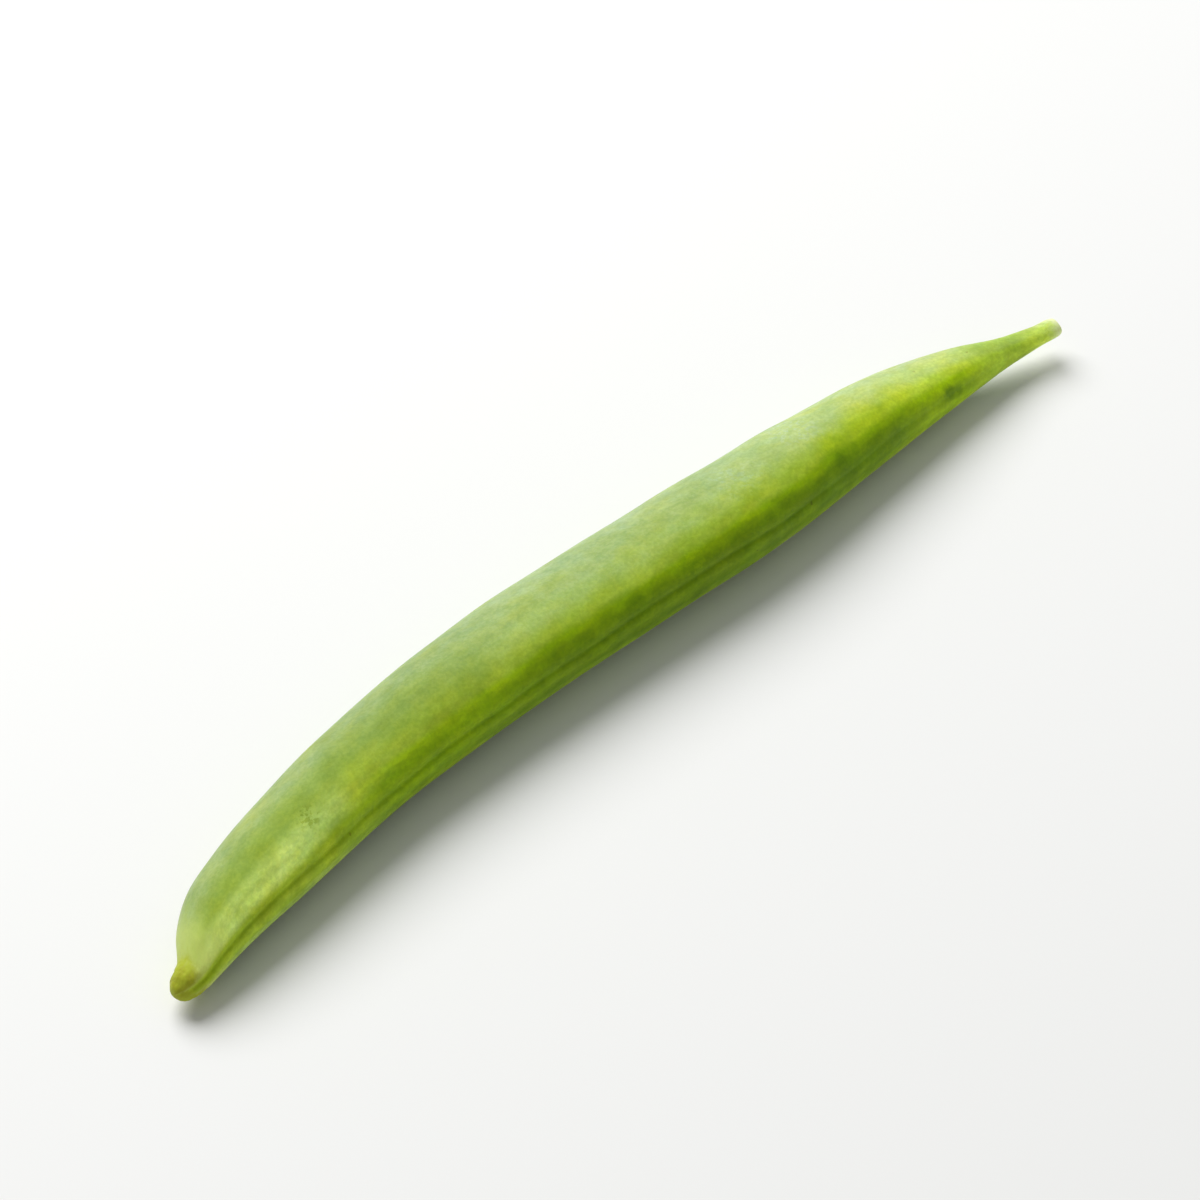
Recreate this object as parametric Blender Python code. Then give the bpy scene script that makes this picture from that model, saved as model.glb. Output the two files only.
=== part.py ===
"""Green bean pod, as picked, lying on its broad flank.

The pod, the stub of its broken beak and the collar where it left its stalk grew as one
piece, so they are one closed solid.

Metres, +Z up, origin at the bottom centre of the pod's box. +X runs along the pod from
the blossom end to the stem end. +Y is the dorsal side, which bows outwards. -Y is the
ventral side, which is nearly straight and carries the suture.
"""

import math

import bmesh
import bpy

MM = 0.001

# Driving dimensions, in millimetres and degrees. "Along" starts at the blossom tip, and
# "across" starts at the straight line between the two tips.
LENGTH = 135.0

DORSAL_EDGE = (  # along, across
    (0.0, -0.2), (0.6, 0.7), (1.4, 1.2), (2.4, 1.7), (3.4, 2.6), (4.9, 4.4), (8.0, 6.9),
    (14.0, 9.3), (24.0, 11.4), (38.0, 13.1), (54.0, 13.7), (72.0, 12.7), (90.0, 11.4),
    (104.0, 10.4), (113.0, 9.2), (122.0, 6.4), (128.0, 3.9), (132.5, 2.4), (135.0, 1.6),
)
VENTRAL_EDGE = (  # along, across
    (0.0, -1.0), (0.6, -1.8), (1.4, -2.2), (2.6, -2.3), (8.0, -1.9), (18.0, -1.1),
    (34.0, 0.5), (50.0, 0.6), (70.0, -0.4), (90.0, -1.5), (106.0, -0.6), (122.0, 0.3),
    (130.0, 0.3), (135.0, -0.5),
)
THICKNESS_TO_WIDTH = (  # along, ratio: round at both tips, oval between them
    (0.0, 0.95), (4.7, 0.82), (10.0, 0.76), (30.0, 0.79), (95.0, 0.80), (115.0, 0.84),
    (128.0, 0.97), (135.0, 1.0),
)
SUTURE_TURN = (  # along, degrees that the ventral edge is turned up, a slight twist
    (0.0, 18.0), (20.0, 18.0), (50.0, 12.0), (80.0, 12.0), (110.0, 17.0), (135.0, 17.0),
)
TIP_LIFT = (  # along, height of the underside above the ground
    (0.0, 1.6), (6.0, 0.5), (14.0, 0.02), (30.0, 0.06), (46.0, 0.0), (78.0, 0.08),
    (104.0, 0.0), (116.0, 0.4), (126.0, 1.4), (135.0, 2.4),
)

EGG = 0.07  # how much thicker the ventral half of a section is than the dorsal half

GROOVE_DEPTH = 0.36
GROOVE_WIDTH = 0.45
RIDGE_HEIGHT = 0.18
RIDGE_OFFSET = 1.15
RIDGE_WIDTH = 0.60
SUTURE_FADE = (1.0, 2.4)  # half widths between which the suture grows to its full relief

SEED_COUNT = 8
FIRST_SEED = 17.5
LAST_SEED = 107.5
SEED_BULGE = 0.14
SEED_SPREAD = 4.0

COLLAR_PLACE = 134.2     # where the pod left its stalk
COLLAR_SWELL = 0.12
COLLAR_WIDTH = 0.55

# Mesh density
RINGS = 74
SIDES = 32
END_CROWDING = 0.78      # rings crowd towards the two tips
SUTURE_CROWDING = 0.52   # points of a ring crowd towards the suture


def curve_through(points, position):
    """Value at a position of the smooth curve through the given (position, value) points."""
    last = len(points) - 1
    spans = [points[i + 1][0] - points[i][0] for i in range(last)]
    rises = [(points[i + 1][1] - points[i][1]) / spans[i] for i in range(last)]

    def slope(i):
        if i == 0:
            return rises[0]
        if i == last:
            return rises[-1]
        return (spans[i] * rises[i - 1] + spans[i - 1] * rises[i]) / (spans[i - 1] + spans[i])

    start = 0
    while start < last - 1 and position > points[start + 1][0]:
        start += 1
    span = spans[start]
    t = (position - points[start][0]) / span
    return ((2 * t**3 - 3 * t**2 + 1) * points[start][1]
            + (t**3 - 2 * t**2 + t) * span * slope(start)
            + (3 * t**2 - 2 * t**3) * points[start + 1][1]
            + (t**3 - t**2) * span * slope(start + 1))


def ramp(value, low, high):
    """Rise smoothly from 0 at low to 1 at high."""
    t = min(max((value - low) / (high - low), 0.0), 1.0)
    return t * t * (3.0 - 2.0 * t)


def bump(distance, width):
    """Smooth hump of height 1 around distance 0."""
    return math.exp(-(distance / width) ** 2)


def suture_relief(distance, half_width):
    """Height of the groove and its two ridges, at a distance from the ventral line."""
    groove = -GROOVE_DEPTH * bump(distance, GROOVE_WIDTH)
    ridges = RIDGE_HEIGHT * (bump(distance - RIDGE_OFFSET, RIDGE_WIDTH)
                             + bump(distance + RIDGE_OFFSET, RIDGE_WIDTH))
    return (groove + ridges) * ramp(half_width, *SUTURE_FADE)


def seed_swelling(along):
    """How far the seeds push the two flanks out."""
    pitch = (LAST_SEED - FIRST_SEED) / (SEED_COUNT - 1)
    return sum(SEED_BULGE * bump(along - FIRST_SEED - pitch * seed, SEED_SPREAD)
               for seed in range(SEED_COUNT))


def section(along):
    """Ring of (x, y, z) points around the pod at one distance from the blossom tip."""
    dorsal = curve_through(DORSAL_EDGE, along)
    ventral = curve_through(VENTRAL_EDGE, along)
    half_width = (dorsal - ventral) / 2
    half_thickness = half_width * curve_through(THICKNESS_TO_WIDTH, along)
    turn = math.radians(curve_through(SUTURE_TURN, along))
    swelling = seed_swelling(along)
    collar = COLLAR_SWELL * bump(along - COLLAR_PLACE, COLLAR_WIDTH)

    offsets = []
    for side in range(SIDES):
        even = 2 * math.pi * side / SIDES
        angle = even - SUTURE_CROWDING * math.sin(even)  # 0 is the ventral line
        thickness = half_thickness * (1 + EGG * math.cos(angle)) + swelling + collar
        width = half_width + collar
        if math.cos(angle) > 0:
            width += suture_relief(thickness * math.sin(angle), half_width)
        broad = -width * math.cos(angle)
        thin = thickness * math.sin(angle)
        offsets.append((broad * math.cos(turn) + thin * math.sin(turn),
                        thin * math.cos(turn) - broad * math.sin(turn)))

    across = (dorsal + ventral) / 2
    underside = min(offset[1] for offset in offsets)
    height = curve_through(TIP_LIFT, along) - underside
    return [(along, across + offset[0], height + offset[1]) for offset in offsets]


def ring_positions():
    """Distances from the blossom tip, closer together towards both tips."""
    for ring in range(RINGS):
        even = ring / (RINGS - 1)
        crowded = even - END_CROWDING * math.sin(2 * math.pi * even) / (2 * math.pi)
        yield LENGTH * crowded


def skin_material():
    """Waxy yellow-green skin."""
    material = bpy.data.materials.new("pod_skin")
    material.use_nodes = True
    shader = material.node_tree.nodes["Principled BSDF"]
    shader.inputs["Base Color"].default_value = (0.305, 0.418, 0.070, 1.0)
    shader.inputs["Roughness"].default_value = 0.42
    shader.inputs["Metallic"].default_value = 0.0
    return material


def build_pod():
    """Loft the pod through its sections and close it at both tips."""
    shape = bmesh.new()
    rings = [[shape.verts.new(point) for point in section(along)]
             for along in ring_positions()]
    for near, far in zip(rings, rings[1:]):
        for side in range(SIDES):
            following = (side + 1) % SIDES
            shape.faces.new((near[side], near[following], far[following], far[side]))
    shape.faces.new(reversed(rings[0]))
    shape.faces.new(rings[-1])
    bmesh.ops.recalc_face_normals(shape, faces=shape.faces)
    mesh = bpy.data.meshes.new("pod")
    shape.to_mesh(mesh)
    shape.free()
    mesh.shade_smooth()
    mesh.set_sharp_from_angle(angle=math.radians(50))
    return mesh


def stand_on_origin(mesh):
    """Scale to metres and put the origin at the bottom centre of the box."""
    axes = list(zip(*(vertex.co for vertex in mesh.vertices)))
    middle_x, middle_y = ((min(axis) + max(axis)) / 2 for axis in axes[:2])
    bottom = min(axes[2])
    for vertex in mesh.vertices:
        vertex.co.x = (vertex.co.x - middle_x) * MM
        vertex.co.y = (vertex.co.y - middle_y) * MM
        vertex.co.z = (vertex.co.z - bottom) * MM


def main():
    for old in list(bpy.data.objects):
        bpy.data.objects.remove(old, do_unlink=True)

    collection = bpy.data.collections.new("green_bean")
    bpy.context.scene.collection.children.link(collection)

    mesh = build_pod()
    stand_on_origin(mesh)
    mesh.materials.append(skin_material())
    collection.objects.link(bpy.data.objects.new("pod", mesh))


main()
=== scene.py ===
"""Looks of a green bean pod that lies on its flank on a pale surface.

The pod is one dense mesh lofted along the same edges as the CAD pod, with the suture, the
dorsal seam, the seed swellings and both broken ends modelled in its surface. The pod's
lengths are in millimetres until its mesh is placed. The studio's are in metres.
"""

import math

import bpy
import numpy as np
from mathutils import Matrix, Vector, noise


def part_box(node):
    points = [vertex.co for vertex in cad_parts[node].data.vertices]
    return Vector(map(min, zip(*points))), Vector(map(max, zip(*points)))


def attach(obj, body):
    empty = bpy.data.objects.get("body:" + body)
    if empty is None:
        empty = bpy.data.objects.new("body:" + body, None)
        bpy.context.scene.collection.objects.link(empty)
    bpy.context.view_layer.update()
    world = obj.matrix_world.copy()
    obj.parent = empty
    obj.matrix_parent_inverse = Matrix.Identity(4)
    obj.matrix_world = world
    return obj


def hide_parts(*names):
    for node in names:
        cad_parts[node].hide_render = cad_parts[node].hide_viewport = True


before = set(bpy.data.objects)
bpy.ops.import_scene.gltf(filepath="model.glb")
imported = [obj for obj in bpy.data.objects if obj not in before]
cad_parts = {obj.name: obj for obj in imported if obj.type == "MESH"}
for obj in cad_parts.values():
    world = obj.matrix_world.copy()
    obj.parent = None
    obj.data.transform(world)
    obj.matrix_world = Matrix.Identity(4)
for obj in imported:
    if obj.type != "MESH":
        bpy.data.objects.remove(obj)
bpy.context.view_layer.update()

MM = 0.001
POD_LOW, POD_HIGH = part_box("pod")
LENGTH = (POD_HIGH.x - POD_LOW.x) / MM

# The pod's form. "Along" starts at the blossom tip, and "across" starts at the straight
# line between the two tips.
DORSAL_EDGE = (  # along, across
    (0.0, -0.2), (0.6, 0.7), (1.4, 1.2), (2.4, 1.7), (3.4, 2.6), (4.9, 4.4), (8.0, 6.9),
    (14.0, 9.3), (24.0, 11.4), (38.0, 13.1), (54.0, 13.7), (72.0, 12.7), (90.0, 11.4),
    (104.0, 10.4), (113.0, 9.2), (122.0, 6.4), (128.0, 3.9), (132.5, 2.4), (135.0, 1.6),
)
VENTRAL_EDGE = (  # along, across
    (0.0, -1.0), (0.6, -1.8), (1.4, -2.2), (2.6, -2.3), (8.0, -1.9), (18.0, -1.1),
    (34.0, 0.5), (50.0, 0.6), (70.0, -0.4), (90.0, -1.5), (106.0, -0.6), (122.0, 0.3),
    (130.0, 0.3), (135.0, -0.5),
)
THICKNESS_TO_WIDTH = (  # along, ratio
    (0.0, 0.95), (4.7, 0.82), (10.0, 0.76), (30.0, 0.79), (95.0, 0.80), (115.0, 0.84),
    (128.0, 0.97), (135.0, 1.0),
)
SUTURE_TURN = (  # along, degrees that the ventral edge is turned up
    (0.0, 18.0), (20.0, 18.0), (50.0, 12.0), (80.0, 12.0), (110.0, 17.0), (135.0, 17.0),
)
TIP_LIFT = (  # along, height of the underside above the ground
    (0.0, 1.6), (6.0, 0.5), (14.0, 0.02), (30.0, 0.06), (46.0, 0.0), (78.0, 0.08),
    (104.0, 0.0), (116.0, 0.4), (126.0, 1.4), (135.0, 2.4),
)
EGG = 0.07                  # how much thicker the ventral half of a section is
BODY_BLUR = 1.1             # evening out of the lengthwise curves
TIP_BLUR = 0.25
TIP_TO_BODY = (3.0, 9.0)    # along: where the tip's blur gives way to the body's

# The suture on the ventral edge
GROOVE_DEPTH = 0.18
GROOVE_WIDTH = 0.32
RIDGE_HEIGHT = 0.08
RIDGE_PLACE = 1.05
RIDGE_WIDTH = 0.55
FIBRE_PLACE = 2.3           # a faint second ridge on each side
FIBRE_HEIGHT = 0.04
FIBRE_WIDTH = 0.30
SUTURE_WAVES = ((0.10, 5.3, 0.0), (0.06, 2.1, 1.0))       # reach, length, phase
SUTURE_DRIFTS = ((0.35, 15.0, 10.0), (0.45, 72.0, 26.0))  # reach, place along, length
SUTURE_GROWTH = (0.9, 2.0)  # half widths between which the suture grows to its full relief
SUTURE_FADE = (84.0, 106.0)  # along: where it fades towards the stem
SUTURE_LOSS = 0.6           # share of the relief lost there

# The seam on the dorsal edge
SEAM_DEPTH = 0.10
SEAM_WIDTH = 0.25
SEAM_RIDGE_HEIGHT = 0.06
SEAM_RIDGE_WIDTH = 1.0
FAR = 9.0                   # distance from a line, given to points on the pod's other side

# The seeds
SEED_PLACES = (17.5, 30.0, 43.5, 57.0, 70.5, 83.0, 95.5, 107.5)
SEED_BULGE = 0.13
SEED_LENGTH = 4.4
SEED_ANGLE = 78.0           # degrees round from the ventral line
SEED_ANGLE_SPREAD = 44.0
BODY_GROWTH = (1.2, 3.4)    # half widths between which seeds and seam grow to full height

# Uneven skin: height, size of the features, number of the noise
LOW_WAVES = (0.05, 8.0, 1)
STREAKS = (0.022, 1.3, 2)
PEBBLES = (0.010, 0.8, 3)
STUB_LUMPS = (0.07, 0.7, 5)
STUB_GRAIN = (0.04, 0.3, 6)
STREAK_STRETCH = (3.5, 1.0, 1.0)
NOISE_SHIFT = (17.3, 5.1, -9.7)  # how far one noise is taken from the next

# The blossom end
TIP_ROUND = 0.60            # how far the tip is domed
TIP_FULLNESS = 2.6          # power of the dome's curve
STUB_LENGTH = 2.6
STUB_FADE = (0.7 * STUB_LENGTH, 1.3 * STUB_LENGTH)
NOTCH_DEPTH = 0.05
NOTCH_PLACE = 1.15 * STUB_LENGTH
NOTCH_WIDTH = 0.45

# The stem end
NECK_START = (117.0, 127.0)  # along: where the ribs grow to their full height
RIB_COUNT = 4
RIB_HEIGHT = 0.05
RIB_SWAY = 0.3              # radians
COLLAR_PLACE = 134.2
COLLAR_SWELL = 0.10
COLLAR_WIDTH = 0.8
RIM_ROUND = 0.16            # rounding of the face's rim
RIM_START = 0.8             # from here on, places and widths are shares of the face's radius
SCAR_DEPTH = 0.30
SCAR_WIDTH = 0.38
SCAR_RING_DEPTH = 0.10
SCAR_RING_PLACE = 0.68
SCAR_RING_WIDTH = 0.10

# Mesh density
BODY_RINGS = 680
CAP_RINGS = 14
FIRST_CAP_ANGLE = 0.04      # radians: how small the ring next to each tip point is
SIDES = 120
SUTURE_CROWDING = 0.45
END_CROWDING = 0.72
MAP_GAP = 0.01              # free margin of each row of the flat map

# Studio, in metres and degrees
CAMERA_AZIMUTH = -45.9
CAMERA_ELEVATION = 45.0
CAMERA_DISTANCE = 0.62
LENS = 176.0                # millimetres
CLIP_START = 0.01
FLOOR_COLOUR = (0.83, 0.83, 0.82, 1)
FLOOR_ROUGHNESS = 0.75
FLOOR_REACH = 3.0
KEY_PLACE = (0.10, 0.55, 0.72)
KEY_SIZE = 0.8
KEY_POWER = 10.0            # watts
SURROUND_COLOUR = (0.98, 0.99, 0.98, 1)
SURROUND_STRENGTH = 0.33


# ---- Curves and small shapes ----

def curve_through(points, positions):
    """Values of the smooth curve through (position, value) points, at an array of positions."""
    places, values = np.array(points).T
    spans = np.diff(places)
    rises = np.diff(values) / spans
    inner = (spans[1:] * rises[:-1] + spans[:-1] * rises[1:]) / (spans[:-1] + spans[1:])
    slopes = np.concatenate([rises[:1], inner, rises[-1:]])
    start = np.clip(np.searchsorted(places, positions, side="right") - 1, 0, len(spans) - 1)
    span = spans[start]
    t = (positions - places[start]) / span
    return ((2 * t**3 - 3 * t**2 + 1) * values[start]
            + (t**3 - 2 * t**2 + t) * span * slopes[start]
            + (3 * t**2 - 2 * t**3) * values[start + 1]
            + (t**3 - t**2) * span * slopes[start + 1])


def evened(points, positions, blur):
    """The same curve with its bends evened out over a distance of blur."""
    step = 0.05
    reach = 4 * blur
    fine = np.arange(0.0, LENGTH + step, step)
    distances = np.arange(-reach, reach + step / 2, step)
    weights = np.exp(-0.5 * (distances / blur) ** 2)
    pad = len(distances) // 2
    values = np.pad(curve_through(points, fine), pad, mode="reflect", reflect_type="odd")
    smooth = np.convolve(values, weights / weights.sum(), mode="valid")
    return np.interp(positions, fine, smooth[:len(fine)])


def soft_curve(points, positions):
    """Evened over a millimetre on the body, and far less at the small blossom tip."""
    on_body = ramp(positions, *TIP_TO_BODY)
    return (evened(points, positions, BODY_BLUR) * on_body
            + evened(points, positions, TIP_BLUR) * (1 - on_body))


def bump(distance, width):
    """Smooth hump of height 1 around distance 0."""
    return np.exp(-(distance / width) ** 2)


def ramp(value, low, high):
    """Rise smoothly from 0 at low to 1 at high."""
    t = np.clip((value - low) / (high - low), 0.0, 1.0)
    return t * t * (3.0 - 2.0 * t)


def uneven(points, height, size, number):
    """Smooth noise of about -height to height at each point, with features of one size."""
    offset = Vector([shift * number for shift in NOISE_SHIFT])
    flat = points.reshape(-1, 3)
    found = [noise.noise(Vector(point) / size + offset) for point in flat]
    return height * np.array(found).reshape(points.shape[:-1])


# ---- The pod's surface ----

def ring_places():
    """Each ring's distance along the pod and its size: the end caps are ever smaller rings."""
    even = np.linspace(0.0, 1.0, BODY_RINGS)
    crowded = even - END_CROWDING * np.sin(2 * np.pi * even) / (2 * np.pi)
    body = TIP_ROUND + (LENGTH - RIM_ROUND - TIP_ROUND) * crowded
    shrink = np.sin(np.linspace(FIRST_CAP_ANGLE, np.pi / 2, CAP_RINGS, endpoint=False))
    along = np.concatenate([np.full(CAP_RINGS, body[0]), body, np.full(CAP_RINGS, body[-1])])
    size = np.concatenate([shrink, np.ones(BODY_RINGS), shrink[::-1]])
    return along, size


def suture_distance(girth, along):
    """Distance from the groove, which wanders a little as it grew."""
    wander = sum(reach * np.sin(along / length + phase) for reach, length, phase in SUTURE_WAVES)
    drift = sum(reach * bump(along - place, length) for reach, place, length in SUTURE_DRIFTS)
    return girth - wander - drift


def suture_relief(distance):
    """Groove along the ventral line, with a rounded ridge and a faint one on each side."""
    groove = -GROOVE_DEPTH * bump(distance, GROOVE_WIDTH)
    beside = np.abs(distance)
    ridges = RIDGE_HEIGHT * bump(beside - RIDGE_PLACE, RIDGE_WIDTH)
    fibres = FIBRE_HEIGHT * bump(beside - FIBRE_PLACE, FIBRE_WIDTH)
    return groove + ridges + fibres


def seam_relief(distance):
    """Fine line on a low ridge along the dorsal edge."""
    ridge = SEAM_RIDGE_HEIGHT * bump(distance, SEAM_RIDGE_WIDTH)
    return ridge - SEAM_DEPTH * bump(distance, SEAM_WIDTH)


def seed_relief(along, angle):
    """Swellings over the seeds, on both flanks."""
    around = bump(np.degrees(np.abs(angle)) - SEED_ANGLE, SEED_ANGLE_SPREAD)
    return SEED_BULGE * sum(bump(along - place, SEED_LENGTH) for place in SEED_PLACES) * around


def end_relief(along, angle, straight):
    """Ribs on the slender neck, the collar round its end, and the rough broken beak."""
    neck = ramp(along, *NECK_START)
    ribs = RIB_HEIGHT * np.cos(RIB_COUNT * angle + RIB_SWAY * np.sin(along)) * neck
    collar = COLLAR_SWELL * bump(along - COLLAR_PLACE, COLLAR_WIDTH)
    stub = 1 - ramp(along, *STUB_FADE)
    broken = uneven(straight, *STUB_LUMPS) + uneven(straight, *STUB_GRAIN)
    notch = -NOTCH_DEPTH * bump(along - NOTCH_PLACE, NOTCH_WIDTH)
    return ribs + collar + broken * stub + notch


def skin_relief(along, angle, girth, straight, half_width):
    """Height of the whole relief over the smooth oval pod."""
    body = ramp(half_width, *BODY_GROWTH)
    on_suture = ramp(half_width, *SUTURE_GROWTH) * (1 - SUTURE_LOSS * ramp(along, *SUTURE_FADE))
    ventral = np.cos(angle) > 0
    groove = np.where(ventral, suture_relief(suture_distance(girth, along)), 0.0)
    seam = np.where(ventral, 0.0, seam_relief(girth))
    swell = seed_relief(along, angle) + uneven(straight, *LOW_WAVES)
    streaks = uneven(straight / STREAK_STRETCH, *STREAKS)
    pebbles = uneven(straight, *PEBBLES)
    skin = groove * on_suture + (seam + swell) * body + streaks + pebbles
    return skin + end_relief(along, angle, straight)


def cap_offset(size):
    """How far a cap ring stands from its end: a domed tip, and a dished scar at the neck."""
    tip = -TIP_ROUND * (1 - size[:CAP_RINGS] ** TIP_FULLNESS)
    face = size[-CAP_RINGS:]
    hollow = SCAR_DEPTH * bump(face, SCAR_WIDTH)
    ring = SCAR_RING_DEPTH * bump(face - SCAR_RING_PLACE, SCAR_RING_WIDTH)
    rim = RIM_ROUND * np.sqrt(1 - np.clip((face - RIM_START) / (1 - RIM_START), 0, 1) ** 2)
    body = np.zeros(len(size) - 2 * CAP_RINGS)
    return np.concatenate([tip, body, rim - hollow - ring])


def raised(broad, thin, angle, half_width, thickness, relief):
    """Points of the oval sections moved out by the relief, square to the oval."""
    normal_broad = -np.cos(angle) / half_width
    normal_thin = np.sin(angle) / thickness
    normal_length = np.hypot(normal_broad, normal_thin)
    return (broad + relief * normal_broad / normal_length,
            thin + relief * normal_thin / normal_length)


def skin_marks(angle, along, girth, size):
    """What the material needs to know at each point, besides its place in the straight pod.

    The degrees round from the ventral line, the distances from the groove and from the
    seam, and how far the point is in from the rim of the stem end's face.
    """
    return {
        "turned": np.degrees(np.abs(angle)),
        "suture": np.where(np.cos(angle) > 0, suture_distance(girth, along), FAR),
        "seam": np.where(np.cos(angle) < 0, girth, FAR),
        "face": np.broadcast_to(np.where(along > LENGTH / 2, 1 - size, 0.0), angle.shape),
    }


def pod_surface():
    """Grid of points on the pod, their places in the straight pod, and their skin marks.

    The straight pod is the pod before it is bowed and turned. Its axes are along, broad
    (from the ventral line to the dorsal line) and thin (from the underside to the top).
    """
    ring_along, ring_size = ring_places()
    dorsal = soft_curve(DORSAL_EDGE, ring_along)
    ventral = soft_curve(VENTRAL_EDGE, ring_along)
    half_width = ((dorsal - ventral) / 2)[:, None]
    half_thickness = half_width * soft_curve(THICKNESS_TO_WIDTH, ring_along)[:, None]
    turn = np.radians(soft_curve(SUTURE_TURN, ring_along))[:, None]
    size = ring_size[:, None]

    even = np.linspace(-np.pi, np.pi, SIDES, endpoint=False)
    angle = np.broadcast_to(even - SUTURE_CROWDING * np.sin(even), (len(ring_along), SIDES))
    along = np.broadcast_to(ring_along[:, None], angle.shape)
    thickness = half_thickness * (1 + EGG * np.cos(angle))
    oval = -half_width * np.cos(angle)
    girth = thickness * np.sin(angle)  # also the distance from the ventral or dorsal line
    straight = np.stack([along, oval * size, girth * size], axis=-1)
    relief = skin_relief(along, angle, girth, straight, half_width)
    broad, thin = raised(oval, girth, angle, half_width, thickness, relief)

    upward = thin * np.cos(turn) - broad * np.sin(turn)
    across = broad * np.cos(turn) + thin * np.sin(turn)
    height = (soft_curve(TIP_LIFT, ring_along) - upward.min(axis=1))[:, None]
    middle = ((dorsal + ventral) / 2)[:, None]
    points = np.stack([along + cap_offset(ring_size)[:, None], middle + across * size,
                       height + upward * size], axis=-1)
    return points, straight, skin_marks(angle, along, girth, size)


def place_on_frame(points):
    """Move the points, in millimetres, to the CAD pod's box, in metres."""
    low = points.reshape(-1, 3).min(axis=0) * MM
    high = points.reshape(-1, 3).max(axis=0) * MM
    shift = (np.array(POD_LOW) + np.array(POD_HIGH) - low - high) / 2
    shift[2] = POD_LOW.z - low[2]
    return points * MM + shift


def pod_faces(index, first_tip, last_tip):
    """Quads between neighbouring rings, and a fan of triangles at each tip."""
    after = np.roll(index, -1, axis=1)
    quads = np.stack([index[:-1], index[1:], after[1:], after[:-1]], axis=-1).reshape(-1, 4)
    faces = quads.tolist()
    faces += [(first_tip, here, there) for here, there in zip(index[0], after[0])]
    faces += [(last_tip, there, here) for here, there in zip(index[-1], after[-1])]
    return faces


def with_tips(values):
    """Values of the grid's points, followed by those of the two tip points."""
    flat = values.reshape(-1, *values.shape[2:])
    return np.concatenate([flat, [values[0].mean(axis=0), values[-1].mean(axis=0)]])


def two_row_map(points):
    """Places of the faces' corners on a square: the blossom half unrolled above the stem half."""
    rings, sides = points.shape[:2]
    gaps = np.linalg.norm(np.diff(points, axis=0), axis=-1).mean(axis=1)
    path = np.concatenate([[0.0], np.cumsum(gaps)])
    middle = np.searchsorted(path, path[-1] / 2)
    row = (np.arange(rings - 1) >= middle).astype(int)
    start = np.where(row, path[middle], 0.0)
    length = np.where(row, path[-1] - path[middle], path[middle])
    near, far = (path[:-1] - start) / length, (path[1:] - start) / length
    here = np.arange(sides) / sides
    there = here + 1 / sides

    across = np.stack([near, far, far, near], axis=-1)[:, None, :]
    down = np.stack([here, here, there, there], axis=-1)[None]
    across, down, row = np.broadcast_arrays(across, down, row[:, None, None])
    tip = np.zeros(sides)
    first = np.stack([tip - MAP_GAP / 2, tip, tip], axis=-1)
    last = np.stack([tip + 1 + MAP_GAP / 2, tip + 1, tip + 1], axis=-1)
    first_down = np.stack([(here + there) / 2, here, there], axis=-1)
    last_down = np.stack([(here + there) / 2, there, here], axis=-1)
    across = np.concatenate([across.ravel(), first.ravel(), last.ravel()])
    down = np.concatenate([down.ravel(), first_down.ravel(), last_down.ravel()])
    row = np.concatenate([row.ravel(), np.zeros(first.size), np.ones(last.size)])
    inner = 1 - 2 * MAP_GAP
    return np.stack([MAP_GAP + inner * across, (row + MAP_GAP + inner * down) / 2], axis=-1)


def build_pod():
    """The pod's mesh, with its flat map and the attributes that its material reads."""
    points, straight, marks = pod_surface()
    rings, sides = points.shape[:2]
    index = np.arange(rings * sides).reshape(rings, sides)
    mesh = bpy.data.meshes.new("bean_pod")
    mesh.from_pydata(with_tips(place_on_frame(points)).tolist(), [],
                     pod_faces(index, rings * sides, rings * sides + 1))
    mesh.shade_smooth()

    bake_map = mesh.uv_layers.new(name="OFBake")
    bake_map.uv.foreach_set("vector", two_row_map(points).astype(np.float32).ravel())
    attribute = mesh.attributes.new("straight", "FLOAT_VECTOR", "POINT")
    attribute.data.foreach_set("vector", with_tips(straight).astype(np.float32).ravel())
    for name, values in marks.items():
        attribute = mesh.attributes.new(name, "FLOAT", "POINT")
        attribute.data.foreach_set("value", with_tips(values).astype(np.float32))
    pod = bpy.data.objects.new("bean_pod", mesh)
    bpy.context.scene.collection.objects.link(pod)
    return pod


# ---- Materials ----

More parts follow.
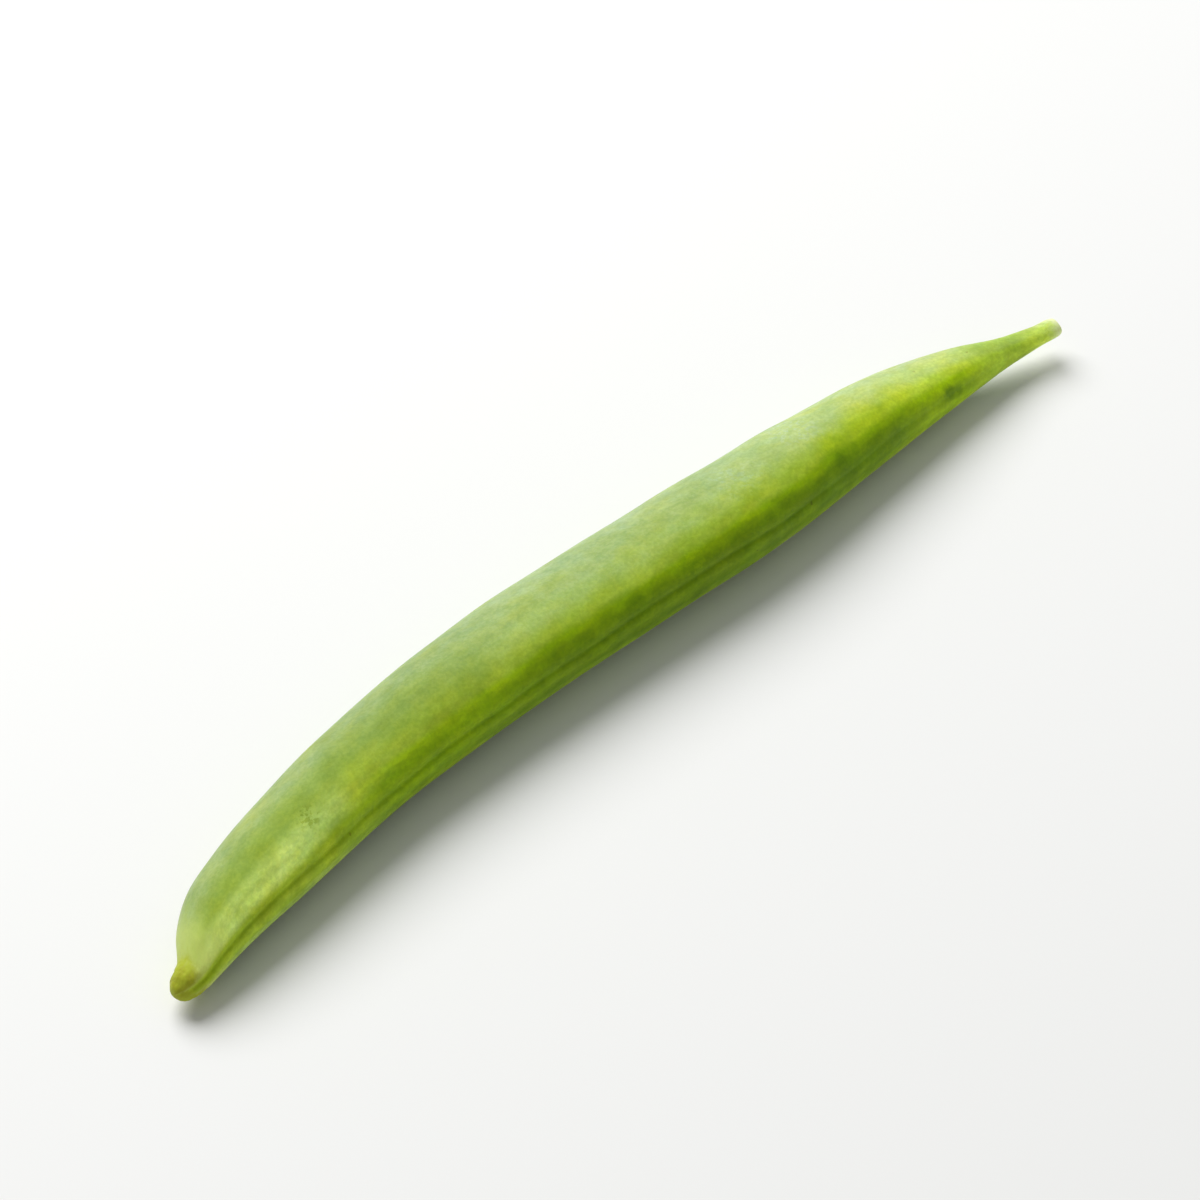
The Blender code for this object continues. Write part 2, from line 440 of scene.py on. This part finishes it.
# Skin colours, linear. Each part of the pod has (degrees round, colour) stops that go from
# the ventral line to the dorsal line. It takes over between two distances along the pod.
# The stops mix the skin's own green with painted light: the pale grey-green towards the
# dorsal line is partly painted sheen, the deep green towards the ventral line is partly
# painted shade, and the bright lower flank near both ends is partly painted light.
SKIN_PARTS_WITH_PAINTED_LIGHT = (
    (0, 0, (
        (0, (0.400, 0.550, 0.030)), (14, (0.420, 0.600, 0.030)), (28, (0.580, 0.790, 0.180)),
        (42, (0.490, 0.660, 0.160)), (65, (0.235, 0.345, 0.030)), (110, (0.285, 0.385, 0.130)),
        (175, (0.370, 0.440, 0.240)),
    )),
    (16, 36, (
        (0, (0.275, 0.455, 0.001)), (18, (0.250, 0.425, 0.002)), (29, (0.330, 0.515, 0.005)),
        (40, (0.325, 0.460, 0.035)), (75, (0.225, 0.330, 0.055)), (110, (0.270, 0.370, 0.135)),
        (175, (0.330, 0.440, 0.210)),
    )),
    (42, 60, (
        (0, (0.185, 0.315, 0.001)), (18, (0.180, 0.310, 0.001)), (29, (0.272, 0.452, 0.001)),
        (40, (0.385, 0.545, 0.045)), (58, (0.370, 0.510, 0.120)), (80, (0.305, 0.420, 0.140)),
        (110, (0.315, 0.425, 0.185)), (175, (0.360, 0.470, 0.240)),
    )),
    (76, 104, (
        (0, (0.160, 0.300, 0.001)), (18, (0.175, 0.315, 0.001)), (29, (0.272, 0.455, 0.001)),
        (40, (0.390, 0.550, 0.030)), (75, (0.398, 0.517, 0.175)), (175, (0.408, 0.530, 0.290)),
    )),
    (105, 115, (
        (0, (0.310, 0.500, 0.004)), (24, (0.412, 0.645, 0.001)), (40, (0.555, 0.745, 0.055)),
        (60, (0.518, 0.658, 0.182)), (100, (0.432, 0.541, 0.234)), (175, (0.438, 0.538, 0.288)),
    )),
    (119, 126, (
        (0, (0.540, 0.780, 0.050)), (30, (0.420, 0.620, 0.040)), (50, (0.390, 0.560, 0.085)),
        (175, (0.325, 0.430, 0.135)),
    )),
    (129, 133, (
        (0, (0.790, 0.990, 0.090)), (50, (0.740, 0.950, 0.140)), (90, (0.440, 0.560, 0.150)),
        (175, (0.360, 0.460, 0.150)),
    )),
)
CUT_CREAM = (0.840, 0.940, 0.500, 1)
TAN = (0.580, 0.680, 0.170, 1)
STUB_OLIVE = (0.370, 0.420, 0.025, 1)
STUB_BROWN = (0.315, 0.325, 0.018, 1)
SCAR_BROWN = (0.220, 0.160, 0.060, 1)

# Tints that the skin colour is multiplied by
DULL = (0.92, 0.94, 0.90, 1)
BRIGHT = (1.07, 1.05, 1.08, 1)
YELLOWED = (1.05, 1.01, 0.80, 1)
WARMER = (1.02, 0.997, 0.90, 1)
COOLER = (0.98, 1.003, 1.10, 1)
DEEPER = (0.89, 0.90, 0.88, 1)
LIGHTER = (1.11, 1.10, 1.12, 1)
GROOVE_SHADE = (0.84, 0.88, 0.55, 1)
# Painted highlight on the ridges beside the groove
RIDGE_PAINTED_HIGHLIGHT = (1.08, 1.06, 1.10, 1)
# Painted shade: a darker tint for the underside, where shade falls under the pod
UNDERSIDE_PAINTED_SHADE = (0.76, 0.80, 0.60, 1)
SPECK = (0.70, 0.62, 0.55, 1)
NO_TINT = (1.0, 1.0, 1.0, 1)

# Noises over the straight pod: scale along, broad and thin, size of the features, detail,
# roughness
NOISES = {
    "patches": ((0.45, 1.0, 1.0), 7.0, 2.0, 0.55),
    "blotches": ((0.6, 1.0, 1.0), 3.2, 2.0, 0.55),
    "mottle": ((0.7, 1.0, 1.0), 1.3, 4.0, 0.65),
    "grain": ((1.0, 1.0, 1.0), 0.42, 3.0, 0.6),
    "streaks": ((0.10, 1.0, 1.0), 0.9, 3.0, 0.55),
    "yellowing": ((0.5, 1.0, 1.0), 4.5, 3.0, 0.55),
    "warmth": ((0.8, 1.0, 1.0), 1.9, 4.0, 0.6),
    "depth": ((0.8, 1.2, 1.2), 2.3, 4.0, 0.65),
    "flecks": ((1.0, 1.0, 1.0), 0.6, 3.0, 0.6),
    "pores": ((1.0, 1.0, 1.0), 0.30, 4.0, 0.6),
    "wear": ((1.0, 1.0, 1.0), 3.5, 3.0, 0.55),
}
NOISE_MEAN = 0.5

# Variation of the skin: noise, its values where the first and the second tint are full, and
# those tints
VARIATIONS = (
    ("yellowing", 0.50, 0.68, NO_TINT, YELLOWED),
    ("blotches", 0.32, 0.68, DULL, BRIGHT),
    ("mottle", 0.33, 0.67, DULL, BRIGHT),
    ("streaks", 0.35, 0.75, NO_TINT, BRIGHT),
    ("grain", 0.36, 0.64, DULL, BRIGHT),
    ("warmth", 0.36, 0.64, COOLER, WARMER),
)
PATCH_SHIFT = 14.0          # degrees that the patches and blotches move the colours round
BLOTCH_SHIFT = 10.0
DEPTH_SPREAD = 0.16         # noise off its mean at which a deeper or lighter tint is full
DEPTH_SIDE = (65.0, 30.0)   # degrees round between which that variation sets in
# Painted shade on the underside fades out between these two heights
SHADED_SIDE = (-2.2, -0.4)  # thin: the underside's shade is full at the first

# The lines along the pod. A change along it is (from, to, value at from, value at to).
LINES_START = (0.6, 2.4)
GROOVE_REACH = (20.0, 60.0, 0.85, 0.45)
GROOVE_FADE = (*SUTURE_FADE, 1.0, 0.3)
# Painted highlight along the ridges beside the groove
RIDGE_HIGHLIGHT_BAND = (1.0, 0.5)     # distance from the groove, reach
SEAM_REACH = 0.45

# The colours of the two ends, with their changes along the pod in the same form
END_UNEVEN = 4.0            # how far the mottling moves the edges of the ends' colours
CREAM_END = (132.6, 134.9, 0.0, 0.9)
PALE_END = (8.6, 2.8, 0.0, 0.75)
STUB_START = (4.0, 1.8)
STUB_CLOSED = (1.6, 0.6, 0.3, 1.0)  # how far the stub's colour covers the suture too
OFF_SUTURE = (4.0, 28.0)    # degrees round
STUB_MOTTLE = (0.40, 0.62)
SCAR_RING = (0.34, 0.18, 0.6)  # place in from the face's rim, reach, share
SCAR_MOTTLE = (0.3, 0.6)

# Marks on the skin: place along, broad and thin in the straight pod, reach, whether it is
# made of flecks, tint
MARKS = (
    ((22.2, -3.6, 3.7), 2.2, True, (0.70, 0.71, 0.45, 1)),
    ((29.5, -4.9, 2.8), 4.2, False, (1.12, 1.08, 0.75, 1)),
    ((43.4, -6.3, 1.0), 1.8, True, (1.22, 1.16, 1.40, 1)),
    ((75.9, -6.1, 2.2), 2.8, True, (1.22, 1.15, 1.40, 1)),
    ((87.0, -1.8, 5.0), 4.8, True, (1.05, 1.05, 1.38, 1)),
    ((97.5, 0.0, 4.8), 5.2, True, (1.01, 1.01, 1.40, 1)),
    ((99.5, -4.9, 2.9), 3.4, False, (0.86, 0.90, 0.30, 1)),
    ((104.5, -4.6, 3.1), 4.8, False, (1.05, 1.03, 0.45, 1)),
    ((110.0, -3.9, 3.1), 3.4, False, (1.08, 1.06, 0.75, 1)),
    ((117.2, -3.9, 0.5), 1.4, False, (0.58, 0.64, 0.32, 1)),
    ((118.7, -3.6, 0.1), 1.1, False, (0.68, 0.74, 0.42, 1)),
)
MARK_CORE = 0.2             # share of its reach within which a mark is full
FLECK_EDGE = (0.50, 0.60)   # values of the noise between which a fleck sets in
SPECK_SPACING = 4.5
SPECK_CHOICE = (0.60, 0.64)  # random values between which a cell gets its speck
SPECK_SIZE = (0.060, 0.020)  # shares of the spacing: a speck's edge and its core

# Finish of the skin
SKIN_ROUGHNESS = (0.50, 0.66)
WEAR_RANGE = (0.3, 0.7)
PORE_STRENGTH = 0.55
PORE_DEPTH = 0.05
SKIN_FINISH = {
    "Specular IOR Level": 0.20,
    "Specular Tint": (0.85, 1.0, 0.45, 1),
    "Subsurface Weight": 0.15,
    "Subsurface Radius": (0.9, 1.3, 0.25),
    "Subsurface Scale": MM,
    "Sheen Weight": 0.06,
    "Sheen Roughness": 0.45,
    "Sheen Tint": (0.86, 0.95, 0.50, 1),
}


class Nodes:
    """Adds nodes to a material, each with its inputs set or linked by name."""

    def __init__(self, name):
        self.material = bpy.data.materials.new(name)
        self.material.use_nodes = True
        self.tree = self.material.node_tree
        self.shader = self.tree.nodes["Principled BSDF"]

    def plug(self, socket, value):
        """Link a socket to another node's output, or set it to a plain value."""
        if isinstance(value, bpy.types.NodeSocket):
            self.tree.links.new(value, socket)
        else:
            socket.default_value = value

    def add(self, kind, inputs, **settings):
        node = self.tree.nodes.new(kind)
        for key, value in settings.items():
            setattr(node, key, value)
        for key, value in inputs.items():
            self.plug(node.inputs[key], value)
        return node

    def attribute(self, name, output="Fac"):
        return self.add("ShaderNodeAttribute", {}, attribute_name=name).outputs[output]

    def maths(self, operation, first, second=0.0):
        return self.add("ShaderNodeMath", {0: first, 1: second}, operation=operation).outputs[0]

    def vector_maths(self, operation, first, second, output):
        inputs = {0: first, 1: second}
        return self.add("ShaderNodeVectorMath", inputs, operation=operation).outputs[output]

    def noise(self, vector, scale, size, detail, rough):
        scaled = self.vector_maths("MULTIPLY", vector, scale, "Vector")
        inputs = {"Vector": scaled, "Scale": 1 / size, "Detail": detail, "Roughness": rough}
        return self.add("ShaderNodeTexNoise", inputs).outputs["Fac"]

    def off_mean(self, noise, factor):
        """A noise less its mean, times factor."""
        return self.maths("MULTIPLY", self.maths("SUBTRACT", noise, NOISE_MEAN), factor)

    def between(self, value, low, high, start=0.0, end=1.0):
        """start where value is at low or less, end where it is at high or more."""
        inputs = {"Value": value, "From Min": low, "From Max": high, "To Min": start, "To Max": end}
        node = self.add("ShaderNodeMapRange", inputs, interpolation_type="SMOOTHSTEP")
        return node.outputs["Result"]

    def near(self, value, place, reach, share=1.0):
        """share where value is at place, and 0 where it is reach away or more."""
        gap = self.maths("ABSOLUTE", self.maths("SUBTRACT", value, place))
        return self.between(gap, 0.0, reach, share, 0.0)

    def ramp(self, value, stops):
        """Colour of the (place, colour) stops at a value between 0 and 180."""
        node = self.add("ShaderNodeValToRGB", {0: self.maths("DIVIDE", value, 180.0)})
        elements = node.color_ramp.elements
        node.color_ramp.interpolation = "EASE"
        for index, (place, colour) in enumerate(stops):
            element = elements[index] if index < 2 else elements.new(place / 180.0)
            element.position = place / 180.0
            element.color = (*colour, 1)
        return node.outputs["Color"]

    def tint(self, colour, value, low, high, first, second):
        """Colour times first where value is at low or less, times second at high or more."""
        tint = self.mix(self.between(value, low, high), first, second)
        return self.mix(1.0, colour, tint, "MULTIPLY")

    def mix(self, share, first, second, blend="MIX"):
        """Colour mix. The mix node's colours are its inputs 6 and 7 and its output 2."""
        node = self.add("ShaderNodeMix", {0: share, 6: first, 7: second}, data_type="RGBA",
                        blend_type=blend)
        return node.outputs[2]


def skin_colour(nodes, straight, noises):
    """Green skin: paler towards the dorsal side with painted sheen, deep green along the suture
    partly painted shade.
    """
    place = nodes.add("ShaderNodeSeparateXYZ", {0: straight}).outputs
    along, thin = place["X"], place["Z"]
    turned = nodes.attribute("turned")

    uneven_edge = nodes.maths("ADD", nodes.maths("MULTIPLY", noises["patches"], PATCH_SHIFT),
                              nodes.maths("MULTIPLY", noises["blotches"], BLOTCH_SHIFT))
    mean_shift = (PATCH_SHIFT + BLOTCH_SHIFT) * NOISE_MEAN
    round_to_dorsal = nodes.maths("ADD", turned, nodes.maths("SUBTRACT", uneven_edge, mean_shift))
    colour = nodes.ramp(round_to_dorsal, SKIN_PARTS_WITH_PAINTED_LIGHT[0][2])
    for start, end, stops in SKIN_PARTS_WITH_PAINTED_LIGHT[1:]:
        colour = nodes.mix(nodes.between(along, start, end), colour,
                           nodes.ramp(round_to_dorsal, stops))

    for name, low, high, first, second in VARIATIONS:
        colour = nodes.tint(colour, noises[name], low, high, first, second)
    depth = nodes.off_mean(noises["depth"], nodes.between(turned, *DEPTH_SIDE))
    colour = nodes.tint(colour, depth, -DEPTH_SPREAD, DEPTH_SPREAD, DEEPER, LIGHTER)
    # Painted shade: darken the underside towards the ground
    colour = nodes.tint(colour, thin, *SHADED_SIDE, UNDERSIDE_PAINTED_SHADE, NO_TINT)
    colour = end_colours(nodes, colour, along, turned, noises["mottle"])
    return line_colours(nodes, colour, along)


def end_colours(nodes, colour, along, turned, mottle):
    """The cream scar of the neck, and the olive stub with pale skin beside it."""
    place = nodes.maths("ADD", along, nodes.off_mean(mottle, END_UNEVEN))
    colour = nodes.mix(nodes.between(place, *CREAM_END), colour, CUT_CREAM)

    off_suture = nodes.between(turned, *OFF_SUTURE)
    pale = nodes.maths("MULTIPLY", nodes.between(place, *PALE_END), off_suture)
    colour = nodes.mix(pale, colour, TAN)

    stub = nodes.mix(nodes.between(mottle, *STUB_MOTTLE), STUB_OLIVE, STUB_BROWN)
    covered = nodes.maths("MAXIMUM", off_suture, nodes.between(place, *STUB_CLOSED))
    withered = nodes.maths("MULTIPLY", nodes.between(place, *STUB_START), covered)
    colour = nodes.mix(withered, colour, stub)

    scar = nodes.maths("MULTIPLY", nodes.near(nodes.attribute("face"), *SCAR_RING),
                       nodes.between(mottle, *SCAR_MOTTLE))
    return nodes.mix(scar, colour, SCAR_BROWN)


def line_colours(nodes, colour, along):
    """The dark groove, a painted highlight on the ridge on each side of it, and the dark dorsal
    seam.
    """
    suture = nodes.attribute("suture")
    on_body = nodes.between(along, *LINES_START)
    clear = nodes.maths("MULTIPLY", on_body, nodes.between(along, *GROOVE_FADE))
    reach = nodes.between(along, *GROOVE_REACH)
    groove = nodes.maths("MULTIPLY", nodes.near(suture, 0.0, reach), clear)
    beside = nodes.near(nodes.maths("ABSOLUTE", suture), *RIDGE_HIGHLIGHT_BAND)
    ridge = nodes.maths("MULTIPLY", beside, on_body)
    seam = nodes.near(nodes.attribute("seam"), 0.0, SEAM_REACH)
    # Painted highlight on the ridges beside the groove
    colour = nodes.tint(colour, ridge, 0.0, 1.0, NO_TINT, RIDGE_PAINTED_HIGHLIGHT)
    colour = nodes.tint(colour, groove, 0.0, 1.0, NO_TINT, GROOVE_SHADE)
    return nodes.tint(colour, seam, 0.0, 1.0, NO_TINT, GROOVE_SHADE)


def marked(nodes, colour, straight, flecks):
    """Dark and pale flecks, yellow and green patches, a small bruise and scattered specks."""
    shifted = nodes.vector_maths("ADD", straight, flecks, "Vector")
    for place, reach, flecked, tint in MARKS:
        centre = tuple(part + NOISE_MEAN for part in place)
        gap = nodes.vector_maths("DISTANCE", shifted, centre, "Value")
        share = nodes.between(gap, reach, MARK_CORE * reach)
        if flecked:
            share = nodes.maths("MULTIPLY", share, nodes.between(flecks, *FLECK_EDGE))
        colour = nodes.tint(colour, share, 0.0, 1.0, NO_TINT, tint)

    cells = nodes.add("ShaderNodeTexVoronoi", {"Vector": shifted, "Scale": 1 / SPECK_SPACING})
    chosen = nodes.between(cells.outputs["Color"], *SPECK_CHOICE)
    dots = nodes.between(cells.outputs["Distance"], *SPECK_SIZE)
    return nodes.tint(colour, nodes.maths("MULTIPLY", chosen, dots), 0.0, 1.0, NO_TINT, SPECK)


def skin_material():
    """Waxy green skin with fine pores."""
    nodes = Nodes("pod_skin")
    straight = nodes.attribute("straight", "Vector")
    noises = {name: nodes.noise(straight, *values) for name, values in NOISES.items()}
    colour = skin_colour(nodes, straight, noises)
    pores = {"Strength": PORE_STRENGTH, "Distance": PORE_DEPTH * MM, "Height": noises["pores"]}
    inputs = {
        "Base Color": marked(nodes, colour, straight, noises["flecks"]),
        "Roughness": nodes.between(noises["wear"], *WEAR_RANGE, *SKIN_ROUGHNESS),
        "Normal": nodes.add("ShaderNodeBump", pores).outputs["Normal"],
        **SKIN_FINISH,
    }
    for name, value in inputs.items():
        nodes.plug(nodes.shader.inputs[name], value)
    return nodes.material


def floor_material():
    """Plain matt ground."""
    nodes = Nodes("pale_floor")
    nodes.plug(nodes.shader.inputs["Base Color"], FLOOR_COLOUR)
    nodes.plug(nodes.shader.inputs["Roughness"], FLOOR_ROUGHNESS)
    return nodes.material


# ---- Studio ----

def add_object(name, data):
    made = bpy.data.objects.new(name, data)
    bpy.context.scene.collection.objects.link(made)
    return made


def aim(thing, place, target):
    """Put a camera or light at a place, pointing at the target."""
    thing.location = place
    thing.rotation_euler = (Vector(target) - Vector(place)).to_track_quat("-Z", "Y").to_euler()


def add_floor():
    low, high = -FLOOR_REACH, FLOOR_REACH
    mesh = bpy.data.meshes.new("floor")
    corners = [(low, low, 0), (high, low, 0), (high, high, 0), (low, high, 0)]
    mesh.from_pydata(corners, [], [(0, 1, 2, 3)])
    mesh.materials.append(floor_material())
    add_object("floor", mesh)


def add_camera(target):
    data = bpy.data.cameras.new("camera")
    data.lens = LENS
    data.clip_start = CLIP_START
    camera = add_object("camera", data)
    azimuth = math.radians(CAMERA_AZIMUTH)
    elevation = math.radians(CAMERA_ELEVATION)
    back = Vector((math.sin(azimuth) * math.cos(elevation),
                   -math.cos(azimuth) * math.cos(elevation), math.sin(elevation)))
    aim(camera, target + back * CAMERA_DISTANCE, target)
    bpy.context.scene.camera = camera


def add_soft_light(name, place, size, power):
    data = bpy.data.lights.new(name, "AREA")
    data.shape = "DISK"
    data.size = size
    data.energy = power
    aim(add_object(name, data), place, (0, 0, 0))


def add_world():
    world = bpy.data.worlds.new("studio")
    world.use_nodes = True
    background = world.node_tree.nodes["Background"]
    background.inputs["Color"].default_value = SURROUND_COLOUR
    background.inputs["Strength"].default_value = SURROUND_STRENGTH
    bpy.context.scene.world = world


def main():
    pod = build_pod()
    pod.data.materials.append(skin_material())
    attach(pod, "root")
    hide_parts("pod")

    add_floor()
    add_camera((POD_LOW + POD_HIGH) / 2)
    add_soft_light("key", KEY_PLACE, KEY_SIZE, KEY_POWER)
    add_world()
    bpy.context.scene.view_settings.view_transform = "Standard"


main()
